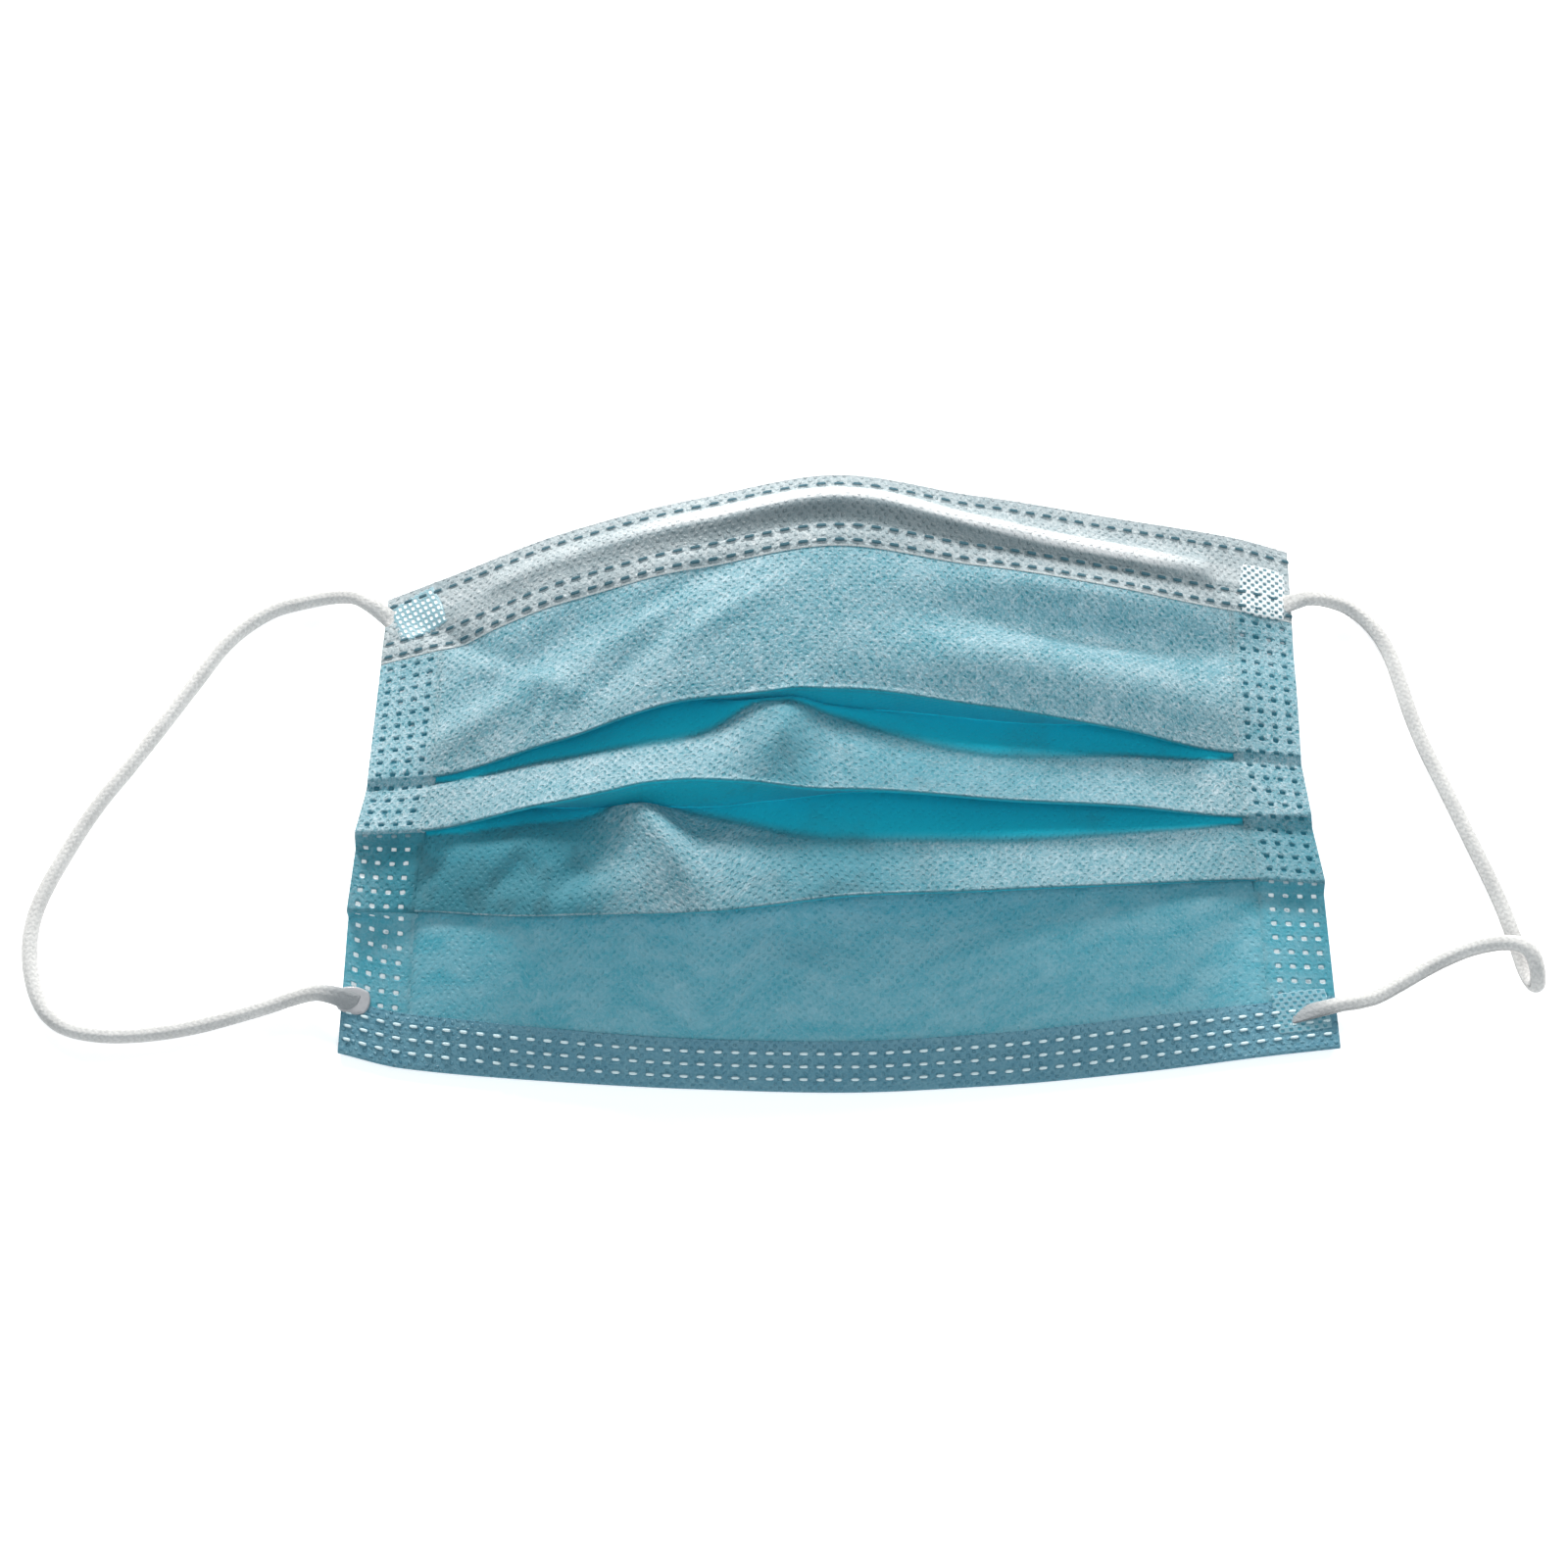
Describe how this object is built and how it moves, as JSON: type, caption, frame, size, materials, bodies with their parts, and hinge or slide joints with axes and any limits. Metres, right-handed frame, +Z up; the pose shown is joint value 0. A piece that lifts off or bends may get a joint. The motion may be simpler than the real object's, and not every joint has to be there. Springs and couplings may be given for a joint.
{
  "type": "disposable face mask",
  "caption": "Disposable pleated face mask of pale blue non-woven cloth with a white nose binding and elastic ear loops, lying on its back with the pleats slightly open.",
  "frame": {"origin": "on the surface that the mask lies on, under the middle of the mask without its ear loops", "axes": "+X along the width, to the right in a view of the blue front; +Y from the hem towards the nose edge; +Z up, out of the blue front"},
  "size_m": [0.2649, 0.1058, 0.032],
  "materials": {
    "blue_cloth": "matte",
    "binding_cloth": "matte",
    "nose_wire": "satin",
    "elastic": "matte",
    "welded_elastic": "satin"
  },
  "bodies": {
    "root": {"pleated_panel": "blue_cloth", "top_binding": "binding_cloth", "nose_wire": "nose_wire", "ear_loop_left": "elastic", "ear_loop_right": "elastic", "weld_tab_top_left": "welded_elastic", "weld_tab_top_right": "welded_elastic", "weld_tab_bottom_left": "welded_elastic", "weld_tab_bottom_right": "welded_elastic"}
  },
  "joints": []
}
